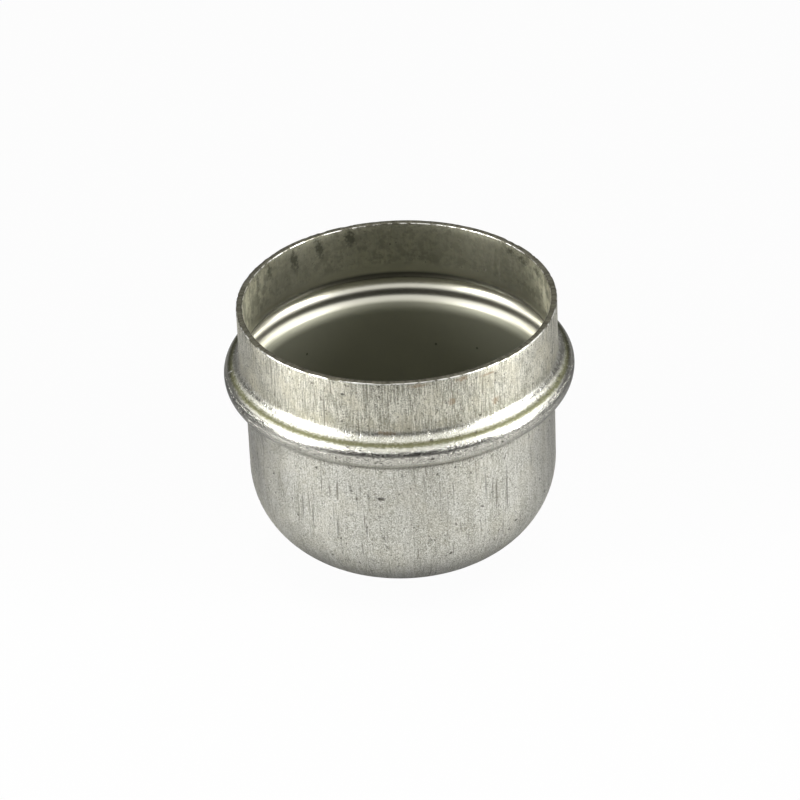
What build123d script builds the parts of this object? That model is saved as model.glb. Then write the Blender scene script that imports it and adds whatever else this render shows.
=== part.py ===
from build123d import *
from math import acos, degrees, sqrt
import os

# Drive-in grease cap for a wheel hub: one cup deep-drawn from sheet steel, with a hollow bead rolled out
# of its wall. The collar above the bead is the spigot that is driven into the hub, and the bead stops it
# there. The sheet has one thickness all over, so the inside follows every bend of the outside.
# Origin at the centre of the closed end's outer face, +Z along the axis and out of the open mouth.

# Driving dimensions, in millimetres. Each bend is given by the radius of its hollow side.
SHEET = 1.0              # thickness of the drawn sheet
SPIGOT_DIAMETER = 50.3   # outside of the spigot that presses into the hub
CUP_DIAMETER = 49.0      # outside of the wall below the bead
END_BEND = 13.2          # bend between the wall and the flat closed end, inside the cup
BEAD_HEIGHT = 31.0       # widest ring of the bead above the closed end's outer face
BEAD_REACH = 2.55        # how far the bead stands out from the spigot
CROWN_UPPER_BEND = 0.9   # bend of the crown above its widest ring, inside the bead's groove
CROWN_LOWER_BEND = 1.8   # bend of the crown below its widest ring, inside the bead's groove
WALL_BEND = 2.0          # bend between the bead and the wall below it, on the outside
SPIGOT_BEND = 1.8        # bend between the bead and the spigot above it, on the outside
SPIGOT_LENGTH = 8.4      # straight wall of the spigot, from its bend to the rim
RIM_ROUND = 0.2          # rounding of both edges of the trimmed rim

# Sizes of the outer surface that follow from those
spigot_radius = SPIGOT_DIAMETER / 2
cup_radius = CUP_DIAMETER / 2
bead_radius = spigot_radius + BEAD_REACH
end_radius = END_BEND + SHEET
upper_crown = CROWN_UPPER_BEND + SHEET
lower_crown = CROWN_LOWER_BEND + SHEET


def flank(crown, bend, reach):
    """Height of a flank of the bead, from its widest ring to its bend, and the angle that both arcs turn."""
    span = crown + bend
    sideways = span - reach
    return sqrt(span**2 - sideways**2), degrees(acos(sideways / span))


lower_rise, lower_turn = flank(lower_crown, WALL_BEND, bead_radius - cup_radius)
upper_rise, upper_turn = flank(upper_crown, SPIGOT_BEND, BEAD_REACH)
wall_top = BEAD_HEIGHT - lower_rise
spigot_foot = BEAD_HEIGHT + upper_rise
rim_height = spigot_foot + SPIGOT_LENGTH

# Centres of the bends in the section, as radius and height, shared by the outside and the inside
corner_centre = (cup_radius - end_radius, end_radius)
wall_bend_centre = (cup_radius + WALL_BEND, wall_top)
lower_crown_centre = (bead_radius - lower_crown, BEAD_HEIGHT)
upper_crown_centre = (bead_radius - upper_crown, BEAD_HEIGHT)
spigot_bend_centre = (spigot_radius + SPIGOT_BEND, spigot_foot)


def skin(depth):
    """Section of the sheet's surface at a depth below its outside, from the axis to the rim."""
    corner = CenterArc(corner_centre, end_radius - depth, -90, 90)
    wall_bend = CenterArc(wall_bend_centre, WALL_BEND + depth, 180, -lower_turn)
    low_crown = CenterArc(lower_crown_centre, lower_crown - depth, -lower_turn, lower_turn)
    high_crown = CenterArc(upper_crown_centre, upper_crown - depth, 0, upper_turn)
    spigot_bend = CenterArc(spigot_bend_centre, SPIGOT_BEND + depth, 180 + upper_turn, -upper_turn)
    closed_end = Line((0, depth), corner @ 0)
    wall = Line(corner @ 1, wall_bend @ 0)
    spigot = Line(spigot_bend @ 1, (spigot_radius - depth, rim_height))
    return [closed_end, corner, wall, wall_bend, low_crown, high_crown, spigot_bend, spigot]


def grease_cap():
    """The whole cap: the sheet's section turned about the axis, with the rim's edges rounded."""
    outside = skin(0)
    inside = skin(SHEET)
    axis_edge = Line(outside[0] @ 0, inside[0] @ 0)
    rim_edge = Line(outside[-1] @ 1, inside[-1] @ 1)
    section = make_face(outside + inside + [axis_edge, rim_edge])
    cap = revolve(Plane.XZ * section, Axis.Z)
    return fillet(cap.edges().group_by(Axis.Z)[-1], RIM_ROUND)


os.makedirs("parts", exist_ok=True)
export_step(grease_cap(), "parts/grease_cap.step")
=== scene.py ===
import math
import random

import bpy
from mathutils import Matrix, Vector


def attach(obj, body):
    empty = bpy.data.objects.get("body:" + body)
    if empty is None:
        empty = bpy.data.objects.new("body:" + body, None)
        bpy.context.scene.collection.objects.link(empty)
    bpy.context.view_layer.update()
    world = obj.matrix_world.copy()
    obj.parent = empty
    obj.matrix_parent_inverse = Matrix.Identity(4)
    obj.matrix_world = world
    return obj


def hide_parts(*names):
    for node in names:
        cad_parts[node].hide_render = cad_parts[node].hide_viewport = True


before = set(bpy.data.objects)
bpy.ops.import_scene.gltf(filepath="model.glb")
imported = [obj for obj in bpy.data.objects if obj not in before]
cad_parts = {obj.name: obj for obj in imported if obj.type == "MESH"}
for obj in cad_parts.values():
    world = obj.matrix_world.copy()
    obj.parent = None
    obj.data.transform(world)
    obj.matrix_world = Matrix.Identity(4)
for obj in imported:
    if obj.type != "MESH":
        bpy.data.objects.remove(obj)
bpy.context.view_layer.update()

# The cap: one cup deep-drawn from a disc of 1 mm steel, with a hollow bead rolled out of its wall under the
# mouth. The sheet's outside, its sheared rim and its inside are one closed skin, turned about the axis.
MM = 0.001
SHEET = 1.0 * MM
SPIGOT_RADIUS = 25.15 * MM
CUP_RADIUS = 24.5 * MM
END_BEND = 13.2 * MM
BEAD_HEIGHT = 31.0 * MM
BEAD_REACH = 2.55 * MM
CROWN_UPPER_BEND = 0.9 * MM
CROWN_LOWER_BEND = 1.8 * MM
WALL_BEND = 2.0 * MM
SPIGOT_BEND = 1.8 * MM
SPIGOT_LENGTH = 8.4 * MM
RIM_ROUND = 0.2 * MM
STEPS_ROUND = 540
NICKS = 70
NICK_DEPTH = 0.07 * MM
RIM_WAVE = 0.05 * MM


def bend(centre, radius, start, turn, steps):
    """Points of a round stretch of the section, as (radius, height), from a start angle and through a turn."""
    angles = [math.radians(start + turn * i / steps) for i in range(steps + 1)]
    return [(centre[0] + radius * math.cos(a), centre[1] + radius * math.sin(a)) for a in angles]


def straight(first, last, steps):
    """Points between two ends of a straight stretch, without the ends."""
    return [tuple(a + (b - a) * i / steps for a, b in zip(first, last)) for i in range(1, steps)]


def flank(crown, radius, reach):
    """Height of a flank of the bead, from its widest ring to its bend, and the angle that both arcs turn."""
    span = crown + radius
    sideways = span - reach
    return math.sqrt(span**2 - sideways**2), math.degrees(math.acos(sideways / span))


bead_radius = SPIGOT_RADIUS + BEAD_REACH
end_radius = END_BEND + SHEET
upper_crown = CROWN_UPPER_BEND + SHEET
lower_crown = CROWN_LOWER_BEND + SHEET
lower_rise, lower_turn = flank(lower_crown, WALL_BEND, bead_radius - CUP_RADIUS)
upper_rise, upper_turn = flank(upper_crown, SPIGOT_BEND, BEAD_REACH)
wall_top = BEAD_HEIGHT - lower_rise
spigot_foot = BEAD_HEIGHT + upper_rise
rim_height = spigot_foot + SPIGOT_LENGTH


def skin(depth):
    """The section of the sheet's surface at a depth below its outside, from the closed end to the rim."""
    corner = bend((CUP_RADIUS - end_radius, end_radius), end_radius - depth, -90, 90, 24)
    low = bend((CUP_RADIUS + WALL_BEND, wall_top), WALL_BEND + depth, 180, -lower_turn, 10)
    crown = bend((bead_radius - lower_crown, BEAD_HEIGHT), lower_crown - depth, -lower_turn, lower_turn, 11)
    crown += bend((bead_radius - upper_crown, BEAD_HEIGHT), upper_crown - depth, 0, upper_turn, 10)[1:]
    high_centre = (SPIGOT_RADIUS + SPIGOT_BEND, spigot_foot)
    high = bend(high_centre, SPIGOT_BEND + depth, 180 + upper_turn, -upper_turn, 12)
    top = (SPIGOT_RADIUS - depth, rim_height - RIM_ROUND)
    return (straight((0, depth), corner[0], 4) + corner + straight(corner[-1], low[0], 5) + low
            + crown[1:] + high[1:] + straight(high[-1], top, 6))


outer_round = bend((SPIGOT_RADIUS - RIM_ROUND, rim_height - RIM_ROUND), RIM_ROUND, 0, 90, 4)
inner_round = bend((SPIGOT_RADIUS - SHEET + RIM_ROUND, rim_height - RIM_ROUND), RIM_ROUND, 90, 90, 4)
outside = skin(0)
inside = skin(SHEET)[::-1]
rim = outer_round + straight(outer_round[-1], inner_round[0], 3) + inner_round
section = outside + rim + inside

# The shear leaves the rim a little wavy, with small nicks in its outer edge. They only take metal away, and they
# are random but the same in each run.
chance = random.Random(7)
nicks = [(chance.uniform(0, 360), chance.uniform(0.5, 2.2), chance.uniform(0.2, 1.0)) for i in range(NICKS)]


def rim_loss(turn):
    """How far the rim lies below its full height, and its outer edge inside its full radius."""
    wave = 0.5 - 0.3 * math.sin(3 * turn + 1.0) - 0.2 * math.sin(7 * turn)
    nick = 0.0
    for middle, width, depth in nicks:
        away = (math.degrees(turn) - middle + 180) % 360 - 180
        nick = max(nick, depth * max(0.0, 1 - (away / width)**2))
    return RIM_WAVE * wave, NICK_DEPTH * nick


points = [Vector((0, 0, 0))]
losses = [rim_loss(2 * math.pi * step / STEPS_ROUND) for step in range(STEPS_ROUND)]
for row, (radius, height) in enumerate(section):
    on_rim = len(outside) <= row < len(outside) + len(rim)
    on_outer_edge = len(outside) <= row < len(outside) + len(outer_round)
    for step in range(STEPS_ROUND):
        turn = 2 * math.pi * step / STEPS_ROUND
        sunk, nicked = losses[step]
        across = radius - (nicked if on_outer_edge else 0)
        level = height - (sunk if on_rim else 0) - (nicked if on_outer_edge else 0)
        points.append(Vector((across * math.sin(turn), -across * math.cos(turn), level)))
points.append(Vector((0, 0, SHEET)))

# Faces, with the skin that each belongs to and its place on a flat pattern of the sheet: the wall as one strip
# with the rim along its middle, and the two sides of the closed end as discs above it.
OUTSIDE, RIM, INSIDE = 0, 1, 2
PATTERN = 162 * MM
MARGIN = 2 * MM
END_ROWS = 15
run = [0.0]
for first, second in zip(section, section[1:]):
    run.append(run[-1] + math.dist(first, second))
strip_first = END_ROWS
strip_last = len(section) - 1 - END_ROWS
strip_top = MARGIN + run[strip_last] - run[strip_first]
disc_radius = section[strip_first][0]
disc_level = strip_top + MARGIN + disc_radius


def on_strip(row, step):
    """Place of a point of the wall on the flat pattern."""
    round_length = 2 * math.pi * SPIGOT_RADIUS
    across = MARGIN + round_length * step / STEPS_ROUND
    upward = MARGIN + run[row] - run[strip_first]
    return (across / PATTERN, upward / PATTERN)


def on_disc(point, middle):
    """Place of a point of the closed end on the flat pattern."""
    return ((middle + points[point].x) / PATTERN, (disc_level + points[point].y) / PATTERN)


faces = []
skins = []
pattern = []
outer_disc = MARGIN + disc_radius
inner_disc = 2 * MARGIN + 3 * disc_radius
for row in range(len(section) - 1):
    if row < len(outside):
        side = OUTSIDE
    elif row < len(outside) + len(rim) - 1:
        side = RIM
    else:
        side = INSIDE
    for step in range(STEPS_ROUND):
        after = (step + 1) % STEPS_ROUND
        low, high = 1 + row * STEPS_ROUND, 1 + (row + 1) * STEPS_ROUND
        face = (low + step, low + after, high + after, high + step)
        faces.append(face)
        skins.append(side)
        if strip_first <= row < strip_last:
            corners = ((row, step), (row, step + 1), (row + 1, step + 1), (row + 1, step))
            pattern += [on_strip(*corner) for corner in corners]
        else:
            pattern += [on_disc(point, outer_disc if side == OUTSIDE else inner_disc) for point in face]
last = len(points) - 1
for step in range(STEPS_ROUND):
    after = (step + 1) % STEPS_ROUND
    for face, side, middle in (((0, 1 + after, 1 + step), OUTSIDE, outer_disc),
                               ((last, last - STEPS_ROUND + step, last - STEPS_ROUND + after), INSIDE, inner_disc)):
        faces.append(face)
        skins.append(side)
        pattern += [on_disc(point, middle) for point in face]

mesh = bpy.data.meshes.new("cap_sheet")
mesh.from_pydata(points, [], faces)
mesh.polygons.foreach_set("use_smooth", [True] * len(faces))
mesh.polygons.foreach_set("material_index", skins)
flat_pattern = mesh.uv_layers.new(name="OFBake")
flat_pattern.data.foreach_set("uv", [value for spot in pattern for value in spot])
cap = bpy.data.objects.new("cap_sheet", mesh)
bpy.context.scene.collection.objects.link(cap)
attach(cap, "root")
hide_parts("grease_cap")


# The looks of the sheet are made of nodes. These functions join them, and the effects below are node groups that
# the three skins of the sheet share.
def node(tree, kind, inputs=(), **settings):
    """A shader node with its settings, and each of its inputs joined to a socket or set to a value."""
    made = tree.nodes.new("ShaderNode" + kind)
    for name, value in settings.items():
        setattr(made, name, value)
    for name, value in dict(inputs).items():
        if isinstance(value, bpy.types.NodeSocket):
            tree.links.new(value, made.inputs[name])
        else:
            made.inputs[name].default_value = value
    return made


def sums(tree, operation, first, second=0.0, third=0.0):
    """One step of arithmetic on sockets and numbers."""
    return node(tree, "Math", {0: first, 1: second, 2: third}, operation=operation).outputs[0]


def between(tree, value, low, high, start=0.0, end=1.0):
    """A soft step from a start to an end while a value runs from low to high."""
    reach = {"Value": value, "From Min": low, "From Max": high, "To Min": start, "To Max": end}
    return node(tree, "MapRange", reach, interpolation_type="SMOOTHSTEP").outputs[0]


def ring(tree, height, foot, lower, upper, top):
    """A mask of a level ring of the cap, which fades in from foot to lower and out from upper to top."""
    return sums(tree, "MULTIPLY", between(tree, height, foot, lower), between(tree, height, upper, top, 1.0, 0.0))


def tinted(tree, mask, first, second):
    """One colour turned into another by a mask."""
    return node(tree, "Mix", {0: mask, 6: first, 7: second}, data_type="RGBA").outputs[2]


def covered(tree, mask, share, first, second):
    """One colour partly covered by another, where a mask is and by a share of it."""
    return tinted(tree, sums(tree, "MULTIPLY", mask, share), first, second)


def effect(name, inputs, outputs):
    """An empty node group, with its input values and its outputs."""
    group = bpy.data.node_groups.new(name, "ShaderNodeTree")
    for label, value in inputs.items():
        group.interface.new_socket(label, in_out="INPUT", socket_type="NodeSocketFloat").default_value = value
    for label, kind in outputs.items():
        group.interface.new_socket(label, in_out="OUTPUT", socket_type="NodeSocket" + kind)
    return group, group.nodes.new("NodeGroupInput").outputs, group.nodes.new("NodeGroupOutput").inputs


def used(tree, group, **inputs):
    """The outputs of a node group placed in a material with its own values."""
    return node(tree, "Group", inputs, node_tree=group).outputs


# Where a point lies on the cap: degrees round from the front, millimetres up from the closed end. All the other
# effects are laid out by it.
PLACE = {"Azimuth": "Float", "Height": "Float", "Radius": "Float", "Spot": "Vector", "Way": "Vector"}
place, entry, leave = effect("place_on_cap", {}, PLACE)
object_point = node(place, "TexCoord").outputs["Object"]
spot = node(place, "VectorMath", {0: object_point, "Scale": 1 / MM}, operation="SCALE").outputs[0]
axes = node(place, "SeparateXYZ", {0: spot}).outputs
azimuth = sums(place, "ARCTAN2", axes["X"], sums(place, "MULTIPLY", axes["Y"], -1.0))
level_way = node(place, "VectorMath", {0: spot, 1: (1.0, 1.0, 0.0)}, operation="MULTIPLY").outputs[0]
way = node(place, "VectorMath", {0: level_way}, operation="NORMALIZE").outputs[0]
place.links.new(sums(place, "DEGREES", azimuth), leave["Azimuth"])
place.links.new(axes["Z"], leave["Height"])
place.links.new(node(place, "VectorMath", {0: level_way}, operation="LENGTH").outputs["Value"], leave["Radius"])
place.links.new(spot, leave["Spot"])
place.links.new(way, leave["Way"])

# Lines that the drawing punch and ring leave along the sheet, up the wall and out from the middle of the end.
# They are a noise that is stretched along the height.
WALL_RADIUS = 25.0
draw_lines, entry, leave = effect("draw_lines", {"Fineness": 3.0, "Run": 10.0, "Shift": 0.0}, {"Lines": "Float"})
here = used(draw_lines, place)
density = sums(draw_lines, "MULTIPLY", entry["Fineness"], WALL_RADIUS)
around = node(draw_lines, "VectorMath", {0: here["Way"], "Scale": density}, operation="SCALE").outputs[0]
upward = sums(draw_lines, "DIVIDE", here["Height"], entry["Run"])
along = node(draw_lines, "CombineXYZ", {"X": entry["Shift"], "Z": upward}).outputs[0]
lines_at = node(draw_lines, "VectorMath", {0: around, 1: along}, operation="ADD").outputs[0]
lines = node(draw_lines, "TexNoise", {"Vector": lines_at, "Scale": 1.0, "Detail": 3.0, "Roughness": 0.6}).outputs[0]
draw_lines.links.new(between(draw_lines, lines, 0.28, 0.72), leave["Lines"])

# Small pits and specks of dirt, strewn over the sheet in different sizes, with uneven edges. A share of the cells
# of a net has one each.
specks, entry, leave = effect("specks", {"Spacing": 1.0, "Share": 0.4, "Size": 0.3}, {"Specks": "Float"})
here = used(specks, place)
per_mm = sums(specks, "DIVIDE", 1.0, entry["Spacing"])
finer = sums(specks, "MULTIPLY", per_mm, 2.5)
uneven = node(specks, "TexNoise", {"Vector": here["Spot"], "Scale": finer, "Detail": 2.0}).outputs["Color"]
pushed = node(specks, "VectorMath", {0: uneven, 1: (-0.5, -0.5, -0.5)}, operation="ADD").outputs[0]
push = sums(specks, "MULTIPLY", entry["Spacing"], 0.9)
pushed = node(specks, "VectorMath", {0: pushed, "Scale": push}, operation="SCALE").outputs[0]
speck_at = node(specks, "VectorMath", {0: here["Spot"], 1: pushed}, operation="ADD").outputs[0]
cells = node(specks, "TexVoronoi", {"Vector": speck_at, "Scale": per_mm}).outputs
odds = node(specks, "SeparateXYZ", {0: cells["Color"]}).outputs
chosen = sums(specks, "LESS_THAN", odds["X"], entry["Share"])
strength = between(specks, odds["Z"], 0.0, 1.0, 0.35, 1.0)
spread = sums(specks, "MULTIPLY_ADD", sums(specks, "MULTIPLY", odds["Y"], odds["Y"]), 0.75, 0.25)
reach = sums(specks, "MULTIPLY", entry["Size"], spread)
dot = between(specks, cells["Distance"], sums(specks, "MULTIPLY", reach, 0.4), reach, 1.0, 0.0)
specks.links.new(sums(specks, "MULTIPLY", sums(specks, "MULTIPLY", chosen, strength), dot), leave["Specks"])

# Cloudy patches, such as stains, handling marks and thin plating, by their size in millimetres. They fade in
# between two levels of a noise.
clouds, entry, leave = effect("clouds", {"Size": 6.0, "From": 0.45, "To": 0.65, "Shift": 0.0}, {"Clouds": "Float"})
here = used(clouds, place)
shifted = node(clouds, "CombineXYZ", {"X": entry["Shift"]}).outputs[0]
cloud_at = node(clouds, "VectorMath", {0: here["Spot"], 1: shifted}, operation="ADD").outputs[0]
per_mm = sums(clouds, "DIVIDE", 1.0, entry["Size"])
billows = {"Vector": cloud_at, "Scale": per_mm, "Detail": 5.0, "Roughness": 0.62}
cloud = node(clouds, "TexNoise", billows).outputs[0]
clouds.links.new(between(clouds, cloud, entry["From"], entry["To"]), leave["Clouds"])

# One mark at a place on the cap: a blot, a dot or a scratch, by its width and length in millimetres. Its edge can
# be clean or ragged.
MM_PER_DEGREE = 0.43
MARK = {"Azimuth": 0.0, "Height": 0.0, "Width": 0.5, "Length": 0.5, "Lean": 0.0, "Ragged": 0.4}
mark, entry, leave = effect("mark", MARK, {"Mark": "Float"})
here = used(mark, place)
apart = sums(mark, "WRAP", sums(mark, "SUBTRACT", here["Azimuth"], entry["Azimuth"]), 180.0, -180.0)
above = sums(mark, "SUBTRACT", here["Height"], entry["Height"])
leant = sums(mark, "MULTIPLY", above, entry["Lean"])
aside = sums(mark, "SUBTRACT", sums(mark, "MULTIPLY", apart, MM_PER_DEGREE), leant)
across = sums(mark, "DIVIDE", aside, entry["Width"])
along = sums(mark, "DIVIDE", above, entry["Length"])
away = node(mark, "CombineXYZ", {"X": across, "Y": along}).outputs[0]
far = node(mark, "VectorMath", {0: away}, operation="LENGTH").outputs["Value"]
rough_edge = node(mark, "TexNoise", {"Vector": here["Spot"], "Scale": 2.2, "Detail": 3.0}).outputs[0]
fray = sums(mark, "MULTIPLY", entry["Ragged"], 3.0)
frayed = sums(mark, "MULTIPLY_ADD", sums(mark, "SUBTRACT", rough_edge, 0.5), fray, far)
mark.links.new(between(mark, frayed, 0.35, 1.0, 1.0, 0.0), leave["Mark"])


def marks(tree, placed, ragged):
    """All marks of one kind in a single mask, each given as azimuth, height, width, length and lean."""
    mask = None
    for azimuth, height, width, length, lean in placed:
        values = {"Azimuth": azimuth, "Height": height, "Width": width, "Length": length, "Lean": lean}
        one = used(tree, mark, Ragged=ragged, **values)["Mark"]
        mask = one if mask is None else sums(tree, "MAXIMUM", mask, one)
    return mask


def metal_skin(name):
    """A new metal material for a side of the sheet, with its nodes and its shader."""
    material = bpy.data.materials.new(name)
    material.use_nodes = True
    shader = material.node_tree.nodes["Principled BSDF"]
    shader.inputs["Metallic"].default_value = 1.0
    mesh.materials.append(material)
    return material.node_tree, shader


def dress(tree, shader, colour, dullness, relief):
    """Give a skin its colour, its roughness and its relief in millimetres."""
    bumps = node(tree, "Bump", {"Strength": 1.0, "Distance": MM, "Height": relief})
    tree.links.new(colour, shader.inputs["Base Color"])
    tree.links.new(dullness, shader.inputs["Roughness"])
    tree.links.new(bumps.outputs["Normal"], shader.inputs["Normal"])


# The outside of the sheet: thinly plated steel, dull and grey, with the lines of drawing down the wall. The bead
# is burnished and pitted by the rolls. Painted shade darkens the collar just above it and the bend below it, and
# its upper bends carry a painted highlight and lines of painted reflection, partly with dirt and pits.
DARK_BLOTS = [(-20.6, 40.5, 0.55, 0.28, 0.0), (-8.7, 21.6, 0.9, 0.45, 0.0), (9.4, 30.5, 0.45, 0.3, 0.0)]
OUTER_DOTS = [(-1.1, 42.2, 0.2, 0.2, 0.0), (-4.5, 39.0, 0.16, 0.2, 0.0), (-21.2, 35.6, 0.22, 0.22, 0.0),
              (-11.8, 35.3, 0.2, 0.2, 0.0), (21.1, 34.7, 0.22, 0.22, 0.0), (-21.8, 30.4, 0.25, 0.2, 0.0),
              (53.6, 25.6, 0.2, 0.5, 0.3), (-0.7, 25.9, 0.12, 0.5, 0.1), (40.0, 24.8, 0.16, 0.6, 0.4),
              (23.8, 33.6, 0.2, 0.2, 0.0), (38.9, 34.3, 0.2, 0.2, 0.0)]
SCRATCHES = [(-40.5, 17.2, 0.24, 3.4, 0.0), (-36.0, 16.2, 0.22, 3.0, 0.02), (-25.6, 15.2, 0.24, 2.5, 0.03),
             (-14.4, 15.6, 0.2, 2.0, 0.0), (31.0, 21.1, 0.2, 2.7, 0.0), (40.6, 19.5, 0.22, 5.4, 0.0),
             (-8.2, 14.2, 0.22, 0.8, -0.6), (-7.3, 12.6, 0.22, 0.8, -0.6), (8.2, 13.6, 0.18, 0.5, 0.5),
             (9.0, 13.6, 0.18, 0.5, -0.5)]
SPECKLED_ZONES = [(31.0, 20.0, 4.5, 5.5, 0.0), (-4.0, 10.0, 7.0, 1.8, 0.0), (-25.0, 12.5, 1.8, 1.3, 0.0)]
BRIGHT_FLECKS = [(4.1, 22.4, 0.25, 0.3, 0.0), (-83.8, 32.6, 0.3, 0.3, 0.0)]
BROWN_STAINS = [(-5.2, 34.1, 2.2, 0.4, 0.0), (6.0, 42.3, 1.8, 0.5, 0.0), (22.0, 42.2, 1.4, 0.6, 0.4),
                (18.0, 38.6, 0.8, 0.8, 0.0), (35.0, 36.4, 0.8, 0.9, 0.0), (31.9, 41.6, 1.6, 0.3, 0.0)]

# Where its rings lie, as the heights in millimetres between which each fades in and out.
LOWER_COLLAR_SHADE = (33.0, 34.0, 34.6, 37.0)
COLLAR_LINES = (33.0, 35.0)
COLLAR_FOOT = (33.9, 34.9)
FILLET_TOP = (33.3, 33.8)
FILLET_FOOT = (31.8, 32.2)
DIP_DIRT_AND_REFLECTION = (32.34, 32.66, 32.74, 33.06)
CROWN = (28.8, 29.6, 31.9, 32.3)
PITTED_REFLECTION_RING = (31.0, 31.35, 31.75, 31.95)
CREASE_SHADE = (26.7, 27.4, 28.5, 29.5)
CLEANER_FOOT = (5.0, 10.0)

WALL_GREY = (0.89, 0.885, 0.845, 1)
COLLAR_GREY = (0.88, 0.865, 0.78, 1)
DULL_GREY = (0.32, 0.31, 0.25, 1)
WORN_YELLOW = (0.66, 0.62, 0.49, 1)
HAIR_DARK = (0.18, 0.17, 0.135, 1)
FILLET_HIGHLIGHT_PALE = (0.86, 0.85, 0.74, 1)
OLIVE_DIRT_AND_REFLECTION = (0.19, 0.19, 0.09, 1)
BURNISHED = (0.74, 0.73, 0.67, 1)
PIT_DARK = (0.12, 0.115, 0.095, 1)
PIT_AND_REFLECTION_DARK = (0.08, 0.078, 0.07, 1)
CREASE_SHADE_DARK = (0.12, 0.115, 0.09, 1)
SPECK_BLACK = (0.06, 0.055, 0.04, 1)
STAIN_BROWN = (0.34, 0.25, 0.16, 1)
SCRATCH_GREY = (0.18, 0.175, 0.15, 1)
BLOT_BLACK = (0.06, 0.055, 0.045, 1)
FLECK_WHITE = (0.95, 0.94, 0.90, 1)

tree, metal = metal_skin("drawn_steel_outside")
height = used(tree, place)["Height"]
fine = used(tree, draw_lines, Fineness=4.5, Run=2.2)["Lines"]
bands = used(tree, draw_lines, Fineness=0.5, Run=24.0, Shift=40.0)["Lines"]
hairs = between(tree, used(tree, draw_lines, Fineness=2.8, Run=8.0, Shift=90.0)["Lines"], 0.80, 1.0)
pits = used(tree, specks, Spacing=0.85, Share=0.32, Size=0.48)["Specks"]
grit = used(tree, specks, Spacing=0.36, Share=0.5, Size=0.6)["Specks"]
pepper = used(tree, specks, Spacing=0.5, Share=0.4, Size=0.5)["Specks"]
grain = used(tree, clouds, Size=0.17, From=0.34, To=0.66, Shift=50.0)["Clouds"]
mottle = used(tree, clouds, Size=0.30, From=0.36, To=0.64, Shift=80.0)["Clouds"]
patches = used(tree, clouds, Size=6.0, Shift=12.0)["Clouds"]
teeth = used(tree, draw_lines, Fineness=6.0, Run=1.5, Shift=20.0)["Lines"]
fringed = sums(tree, "MULTIPLY_ADD", sums(tree, "SUBTRACT", teeth, 0.5), 0.8, height)
pocked = sums(tree, "MULTIPLY_ADD", mottle, 0.16, sums(tree, "ADD", height, -0.08))
collar = between(tree, fringed, *COLLAR_FOOT)
fillet_top = between(tree, fringed, *FILLET_TOP, 1.0, 0.0)
fillet = sums(tree, "MULTIPLY", between(tree, height, *FILLET_FOOT), fillet_top)
dip = ring(tree, pocked, *DIP_DIRT_AND_REFLECTION)
crown = ring(tree, height, *CROWN)
broken = sums(tree, "MULTIPLY_ADD", mottle, 0.5, sums(tree, "ADD", height, -0.25))
pitted_reflection_ring = ring(tree, broken, *PITTED_REFLECTION_RING)
crease_shade = ring(tree, height, *CREASE_SHADE)

tone = sums(tree, "MULTIPLY", sums(tree, "SUBTRACT", 0.5, fine), between(tree, height, *COLLAR_LINES, 0.35, 1.25))
# Painted shade: the collar is darkened just above the bead.
tone = sums(tree, "MULTIPLY_ADD", ring(tree, height, *LOWER_COLLAR_SHADE), 0.22, tone)
tone = sums(tree, "MULTIPLY_ADD", sums(tree, "SUBTRACT", grain, 0.5), 1.3, tone)
tone = sums(tree, "MULTIPLY_ADD", sums(tree, "SUBTRACT", bands, 0.5), 0.25, tone)
tone = sums(tree, "MULTIPLY_ADD", collar, 0.12, sums(tree, "ADD", tone, 0.45))
light = tinted(tree, collar, WALL_GREY, COLLAR_GREY)
colour = tinted(tree, tone, light, DULL_GREY)
colour = covered(tree, patches, sums(tree, "MULTIPLY_ADD", collar, 0.25, 0.15), colour, WORN_YELLOW)
colour = covered(tree, hairs, 0.7, colour, HAIR_DARK)
# Partly burnished metal and partly a painted highlight: the bends above the bead's widest ring are paler.
colour = covered(tree, fillet, 0.5, colour, FILLET_HIGHLIGHT_PALE)
# Partly dirt and partly a painted reflection of the collar: a thin dark olive line where the bead's upper bend
# turns.
colour = covered(tree, dip, 0.92, colour, OLIVE_DIRT_AND_REFLECTION)
pitted = sums(tree, "MULTIPLY", crown, between(tree, mottle, 0.55, 1.0))
colour = covered(tree, crown, 0.6, colour, BURNISHED)
colour = covered(tree, pitted, 0.65, colour, PIT_DARK)
# Partly pitting and partly a painted reflection: a dark ragged line runs round the crown.
colour = covered(tree, pitted_reflection_ring, 0.7, colour, PIT_AND_REFLECTION_DARK)
# Painted shade: the bend under the bead is darkened, unevenly by the grain.
colour = covered(tree, crease_shade, between(tree, grain, 0.0, 1.0, 0.55, 0.85), colour, CREASE_SHADE_DARK)
gritty = sums(tree, "MULTIPLY", grit, sums(tree, "MULTIPLY_ADD", collar, 0.25, 0.7))
peppered = sums(tree, "MAXIMUM", marks(tree, SPECKLED_ZONES, 0.4), sums(tree, "MULTIPLY", collar, 0.75))
speckled = sums(tree, "MAXIMUM", sums(tree, "MAXIMUM", pits, gritty), sums(tree, "MULTIPLY", pepper, peppered))
speckled = sums(tree, "MULTIPLY", speckled, between(tree, height, *CLEANER_FOOT, 0.5, 0.95))
colour = tinted(tree, speckled, colour, SPECK_BLACK)
colour = covered(tree, marks(tree, BROWN_STAINS, 0.5), 0.6, colour, STAIN_BROWN)
scratched = marks(tree, SCRATCHES, 0.15)
colour = covered(tree, scratched, 0.65, colour, SCRATCH_GREY)
blotted = sums(tree, "MAXIMUM", marks(tree, DARK_BLOTS, 0.5), marks(tree, OUTER_DOTS, 0.2))
colour = covered(tree, blotted, 0.9, colour, BLOT_BLACK)
colour = tinted(tree, marks(tree, BRIGHT_FLECKS, 0.3), colour, FLECK_WHITE)

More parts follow.
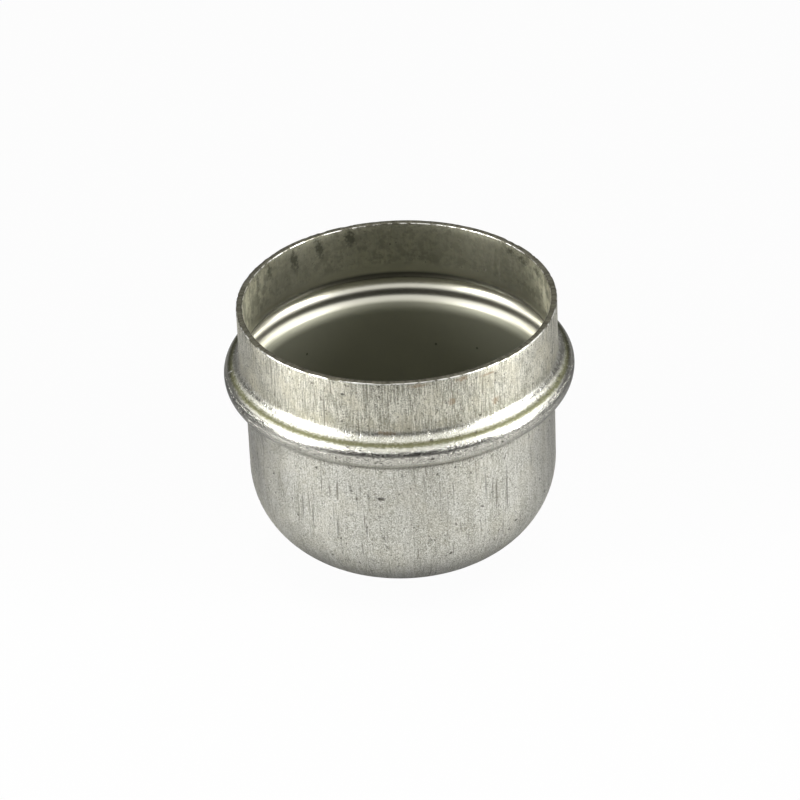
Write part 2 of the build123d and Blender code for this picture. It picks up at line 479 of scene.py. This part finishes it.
dullness = between(tree, fine, 0.0, 1.0, 0.36, 0.29)
dullness = sums(tree, "MULTIPLY_ADD", collar, 0.08, dullness)
dullness = sums(tree, "MULTIPLY_ADD", patches, 0.05, dullness)
dullness = sums(tree, "MULTIPLY_ADD", fillet, -0.14, dullness)
dullness = sums(tree, "MULTIPLY_ADD", crown, -0.18, dullness)
dullness = sums(tree, "MULTIPLY_ADD", sums(tree, "MAXIMUM", speckled, blotted), 0.2, dullness)

relief = sums(tree, "MULTIPLY", fine, between(tree, height, *COLLAR_LINES, 0.004, 0.014))
relief = sums(tree, "MULTIPLY_ADD", grain, sums(tree, "MULTIPLY_ADD", crown, -0.002, 0.006), relief)
relief = sums(tree, "MULTIPLY_ADD", pitted, -0.02, relief)
relief = sums(tree, "MULTIPLY_ADD", hairs, -0.012, relief)
relief = sums(tree, "MULTIPLY_ADD", speckled, -0.03, relief)
relief = sums(tree, "MULTIPLY_ADD", scratched, -0.03, relief)
relief = sums(tree, "MULTIPLY_ADD", blotted, -0.03, relief)
dress(tree, metal, colour, dullness, relief)

# The rim: the sheared edge of the sheet, bare steel, torn across its thickness. Its two edges are paler, partly as
# rubbed steel and partly as a painted highlight.
OUTER_EDGE = (24.98, 25.09)
INNER_EDGE = (24.18, 24.26)
TORN_DARK = (0.08, 0.076, 0.055, 1)
TORN_GREY = (0.20, 0.19, 0.145, 1)
RUBBED_AND_HIGHLIGHT_BRIGHT = (0.90, 0.89, 0.85, 1)
RIM_PIT = (0.08, 0.075, 0.06, 1)

tree, metal = metal_skin("sheared_rim")
radius = used(tree, place)["Radius"]
torn = used(tree, draw_lines, Fineness=2.2, Run=0.8, Shift=15.0)["Lines"]
rubbed_and_glinting = used(tree, clouds, Size=1.4, From=0.40, To=0.54, Shift=30.0)["Clouds"]
pits = used(tree, specks, Spacing=0.45, Share=0.5, Size=0.6)["Specks"]
inner_edge = between(tree, radius, *INNER_EDGE, 1.0, 0.0)
edges = sums(tree, "MAXIMUM", between(tree, radius, *OUTER_EDGE), inner_edge)
colour = tinted(tree, torn, TORN_DARK, TORN_GREY)
# Partly rubbed steel and partly a painted highlight along the rim's two edges.
colour = covered(tree, edges, rubbed_and_glinting, colour, RUBBED_AND_HIGHLIGHT_BRIGHT)
colour = covered(tree, pits, 0.7, colour, RIM_PIT)
dullness = between(tree, torn, 0.0, 1.0, 0.42, 0.28)
relief = sums(tree, "MULTIPLY_ADD", pits, -0.03, sums(tree, "MULTIPLY", torn, 0.02))
dress(tree, metal, colour, dullness, relief)

# The inside of the sheet: smoother and darker than the outside, and darker and greenish below the groove, where
# shade is painted deep in the cup. The groove of the bead is burnished bright, its upper half painted dark as shade
# under the mouth, and the wall above it is mottled, with one bright patch of painted reflection.
INNER_DOTS = [(-178.5, 39.0, 0.22, 0.2, 0.0), (179.2, 39.3, 0.2, 0.2, 0.0), (170.5, 36.7, 0.2, 0.2, 0.0),
              (-140.6, 22.5, 0.3, 0.3, 0.0), (164.7, 20.6, 0.3, 0.3, 0.0), (146.9, 21.3, 0.3, 0.3, 0.0)]
SMUDGES = [(-163.0, 41.0, 1.0, 1.9, 0.1), (-150.0, 40.6, 0.8, 2.2, 0.2), (-138.0, 40.2, 0.9, 2.4, 0.1),
           (-124.0, 40.8, 0.8, 2.0, 0.0), (-115.0, 41.0, 0.7, 1.6, 0.0), (112.0, 41.4, 1.2, 0.8, 0.0),
           (122.0, 41.2, 1.6, 0.9, 0.0), (130.0, 41.6, 1.0, 0.7, 0.0), (-102.0, 42.5, 2.0, 0.14, 0.0)]
PAINTED_REFLECTIONS = [(104.0, 38.8, 1.4, 3.0, 0.15)]

MOUTH_FOOT = (34.6, 36.0)
UPPER_GROOVE = (30.8, 31.5, 33.4, 34.2)
GROOVE = (28.0, 28.8, 30.8, 31.5)
DEEP_INSIDE_TOP = (28.0, 28.7)

INNER_GREY = (0.54, 0.53, 0.43, 1)
INNER_LINES = (0.70, 0.69, 0.57, 1)
CLOUDED_GREY = (0.38, 0.39, 0.32, 1)
DEEP_INSIDE_SHADE = (0.30, 0.30, 0.24, 1)
GROOVE_BRIGHT = (0.66, 0.645, 0.56, 1)
UPPER_GROOVE_SHADE = (0.08, 0.078, 0.06, 1)
MOTTLE_DARK = (0.20, 0.195, 0.14, 1)
INNER_PIT = (0.12, 0.115, 0.085, 1)
SMUDGE_DARK = (0.12, 0.12, 0.09, 1)
DOT_BLACK = (0.06, 0.06, 0.045, 1)
REFLECTION_BRIGHT = (0.78, 0.76, 0.66, 1)

tree, metal = metal_skin("drawn_steel_inside")
height = used(tree, place)["Height"]
fine = used(tree, draw_lines, Fineness=1.6, Run=14.0, Shift=60.0)["Lines"]
pits = used(tree, specks, Spacing=0.7, Share=0.4, Size=0.42)["Specks"]
mottle = used(tree, clouds, Size=1.5, From=0.40, To=0.62, Shift=25.0)["Clouds"]
patches = used(tree, clouds, Size=9.0, Shift=70.0)["Clouds"]
mouth = between(tree, height, *MOUTH_FOOT)
groove = ring(tree, height, *GROOVE)
upper_groove = ring(tree, height, *UPPER_GROOVE)
deep_inside = between(tree, height, *DEEP_INSIDE_TOP, 1.0, 0.0)
fine = sums(tree, "MULTIPLY", fine, mouth)
colour = tinted(tree, fine, INNER_GREY, INNER_LINES)
colour = covered(tree, patches, 0.3, colour, CLOUDED_GREY)
# Painted shade: the inside is darkened below the groove, deep in the cup.
colour = covered(tree, deep_inside, 0.95, colour, DEEP_INSIDE_SHADE)
colour = tinted(tree, groove, colour, GROOVE_BRIGHT)
# Painted shade: the upper half of the groove, under the mouth, is darkened.
colour = covered(tree, upper_groove, 0.95, colour, UPPER_GROOVE_SHADE)
colour = covered(tree, mouth, sums(tree, "MULTIPLY", mottle, 0.75), colour, MOTTLE_DARK)
colour = covered(tree, mouth, sums(tree, "MULTIPLY", pits, 0.75), colour, INNER_PIT)
colour = covered(tree, marks(tree, SMUDGES, 0.9), 0.8, colour, SMUDGE_DARK)
colour = covered(tree, marks(tree, INNER_DOTS, 0.3), 0.7, colour, DOT_BLACK)
# Painted reflection: one bright upright patch on the inner wall.
colour = tinted(tree, marks(tree, PAINTED_REFLECTIONS, 0.5), colour, REFLECTION_BRIGHT)

dullness = between(tree, fine, 0.0, 1.0, 0.36, 0.30)
dullness = sums(tree, "MULTIPLY_ADD", sums(tree, "MULTIPLY", mouth, mottle), 0.10, dullness)
dullness = sums(tree, "MULTIPLY_ADD", deep_inside, 0.22, dullness)
dullness = sums(tree, "MULTIPLY_ADD", upper_groove, 0.25, dullness)
dullness = sums(tree, "MULTIPLY_ADD", groove, -0.06, dullness)

relief = sums(tree, "MULTIPLY", fine, sums(tree, "MULTIPLY", mouth, 0.004))
relief = sums(tree, "MULTIPLY_ADD", sums(tree, "MULTIPLY", mouth, pits), -0.015, relief)
dress(tree, metal, colour, dullness, relief)

# The table: white paper that runs out flat from under the cap and sweeps up all round it. The camera sees it as
# white. The metal sees it lit, pale in front, and grey with painted shadow behind the cap and close round its foot.
PAPER_FLAT = 0.8
PAPER_SWEEP = 0.6
PAPER_STEPS = 96
PAPER_WHITE = 0.97
PAPER_GLOW = 0.03
PAPER_PALE = (0.41, 0.41, 0.40, 1)
PAPER_SHADOW_GREY = (0.14, 0.14, 0.14, 1)
PAPER_SHADES = (-0.03, 0.03)
PAPER_FOOT_SHADOW = (0.018, 0.030)
sweep = [(PAPER_FLAT, 0.0)] + bend((PAPER_FLAT, PAPER_SWEEP), PAPER_SWEEP, -90, 80, 16)[1:]
paper_points = [(0, 0, 0)]
for radius, level in sweep:
    for step in range(PAPER_STEPS):
        turn = 2 * math.pi * step / PAPER_STEPS
        paper_points.append((radius * math.sin(turn), -radius * math.cos(turn), level))
paper_faces = [(0, 1 + step, 1 + (step + 1) % PAPER_STEPS) for step in range(PAPER_STEPS)]
for row in range(len(sweep) - 1):
    low, high = 1 + row * PAPER_STEPS, 1 + (row + 1) * PAPER_STEPS
    for step in range(PAPER_STEPS):
        after = (step + 1) % PAPER_STEPS
        paper_faces.append((low + step, high + step, high + after, low + after))
paper_mesh = bpy.data.meshes.new("paper")
paper_mesh.from_pydata(paper_points, [], paper_faces)
paper_mesh.polygons.foreach_set("use_smooth", [True] * len(paper_faces))
paper = bpy.data.objects.new("paper", paper_mesh)
bpy.context.scene.collection.objects.link(paper)
paper_white = bpy.data.materials.new("paper_white")
paper_white.use_nodes = True
tree = paper_white.node_tree
matt = tree.nodes["Principled BSDF"]
matt.inputs["Roughness"].default_value = 0.9
paper_point = node(tree, "TexCoord").outputs["Object"]
back = node(tree, "SeparateXYZ", {0: paper_point}).outputs["Y"]
from_cap = node(tree, "VectorMath", {0: paper_point}, operation="LENGTH").outputs["Value"]
# Painted shadow: the paper is grey behind the cap and close round its foot, as the metal sees it.
shadow_behind = between(tree, back, *PAPER_SHADES)
shade = sums(tree, "MAXIMUM", shadow_behind, between(tree, from_cap, *PAPER_FOOT_SHADOW, 1.0, 0.0))
tree.links.new(tinted(tree, shade, PAPER_PALE, PAPER_SHADOW_GREY), matt.inputs["Base Color"])
matt.inputs["Specular IOR Level"].default_value = 0.1
ray = node(tree, "LightPath").outputs
mirrored = sums(tree, "MAXIMUM", ray["Is Glossy Ray"], ray["Is Transmission Ray"])
seen = sums(tree, "MULTIPLY", ray["Is Camera Ray"], PAPER_WHITE)
seen = sums(tree, "MAXIMUM", seen, sums(tree, "MULTIPLY", mirrored, PAPER_GLOW))
white = node(tree, "Emission", {"Color": (1, 1, 1, 1), "Strength": 1.0}).outputs[0]
shown = node(tree, "MixShader", {0: seen, 1: matt.outputs[0], 2: white}).outputs[0]
tree.links.new(shown, tree.nodes["Material Output"].inputs["Surface"])
paper_mesh.materials.append(paper_white)

# The dark card: it stands upright in front of the cap and darkens the line along the bead. Only the metal sees
# it: the camera does not, and it casts no shadow.
CARD_AWAY = 0.123
CARD_WIDE = 0.28
CARD_TALL = 0.068
CARD_BLACK = (0.03, 0.03, 0.028, 1)
card_points = [(-CARD_WIDE / 2, -CARD_AWAY, 0), (CARD_WIDE / 2, -CARD_AWAY, 0),
               (CARD_WIDE / 2, -CARD_AWAY, CARD_TALL), (-CARD_WIDE / 2, -CARD_AWAY, CARD_TALL)]
card_mesh = bpy.data.meshes.new("dark_card")
card_mesh.from_pydata(card_points, [], [(0, 1, 2, 3)])
card = bpy.data.objects.new("dark_card", card_mesh)
bpy.context.scene.collection.objects.link(card)
card.visible_camera = False
card.visible_shadow = False
card.visible_diffuse = False
card_black = bpy.data.materials.new("card_black")
card_black.use_nodes = True
matt = card_black.node_tree.nodes["Principled BSDF"]
matt.inputs["Base Color"].default_value = CARD_BLACK
matt.inputs["Roughness"].default_value = 0.9
card_mesh.materials.append(card_black)

# The lamps: a white tent over the cap, which glows evenly from above, and at both sides a large softbox and a
# narrow low one, which draw the upright highlights on the wall.
TENT_FOOT = 21
TENT_FULL = 28
TENT_BRIGHT = 0.95
ROOM_BRIGHT = 0.06
TENT_WHITE = (1.0, 1.0, 0.98, 1)
AIM_HEIGHT = 0.03


def softbox(name, size, azimuth, elevation, distance, brightness):
    """A rectangular soft lamp that faces the cap, by how bright its face is."""
    lamp = bpy.data.lights.new(name, "AREA")
    lamp.shape = "RECTANGLE"
    lamp.size, lamp.size_y = size
    lamp.energy = brightness * math.pi * size[0] * size[1]
    holder = bpy.data.objects.new(name, lamp)
    a, e = math.radians(azimuth), math.radians(elevation)
    aim = Vector((0, 0, AIM_HEIGHT))
    holder.location = aim + distance * Vector((math.cos(e) * math.sin(a), -math.cos(e) * math.cos(a), math.sin(e)))
    holder.rotation_euler = (aim - holder.location).to_track_quat("-Z", "Y").to_euler()
    holder.visible_camera = False
    bpy.context.scene.collection.objects.link(holder)


softbox("left_softbox", (0.5, 0.45), -92, 44, 0.6, 0.9)
softbox("right_softbox", (0.5, 0.45), 92, 44, 0.6, 0.9)
softbox("left_strip", (0.11, 0.32), -66, 13, 0.4, 24.0)
softbox("right_strip", (0.11, 0.32), 72, 13, 0.4, 24.0)
tent = bpy.data.worlds.new("light_tent")
bpy.context.scene.world = tent
tent.use_nodes = True
tree = tent.node_tree
upward = node(tree, "SeparateXYZ", {0: node(tree, "TexCoord").outputs["Generated"]}).outputs["Z"]
foot, full = math.sin(math.radians(TENT_FOOT)), math.sin(math.radians(TENT_FULL))
sky = tree.nodes["Background"]
sky.inputs["Color"].default_value = TENT_WHITE
tree.links.new(between(tree, upward, foot, full, ROOM_BRIGHT, TENT_BRIGHT), sky.inputs["Strength"])

# The camera: it stands above the mouth with a long lens, looks down at the cap and leans a little to one side.
# Its place was fitted to the outline of the cap.
ELEVATION = 32.056
LEAN = -2.458
DISTANCE = 637.057 * MM
ASIDE = 0.2078 * MM
BELOW = 2.3767 * MM
FOCAL_PIXELS = 4000
IMAGE_PIXELS = 800
turned = Matrix.Rotation(math.radians(90 - ELEVATION), 3, "X") @ Matrix.Rotation(math.radians(LEAN), 3, "Z")
lens = bpy.data.cameras.new("camera")
lens.sensor_width = 36
lens.lens = FOCAL_PIXELS * lens.sensor_width / IMAGE_PIXELS
lens.clip_start = 0.01
camera = bpy.data.objects.new("camera", lens)
stand = Vector((0, 0, rim_height / 2)) - turned @ Vector((ASIDE, -BELOW, -DISTANCE))
camera.matrix_world = Matrix.Translation(stand) @ turned.to_4x4()
bpy.context.scene.collection.objects.link(camera)
bpy.context.scene.camera = camera
bpy.context.scene.view_settings.view_transform = "Standard"
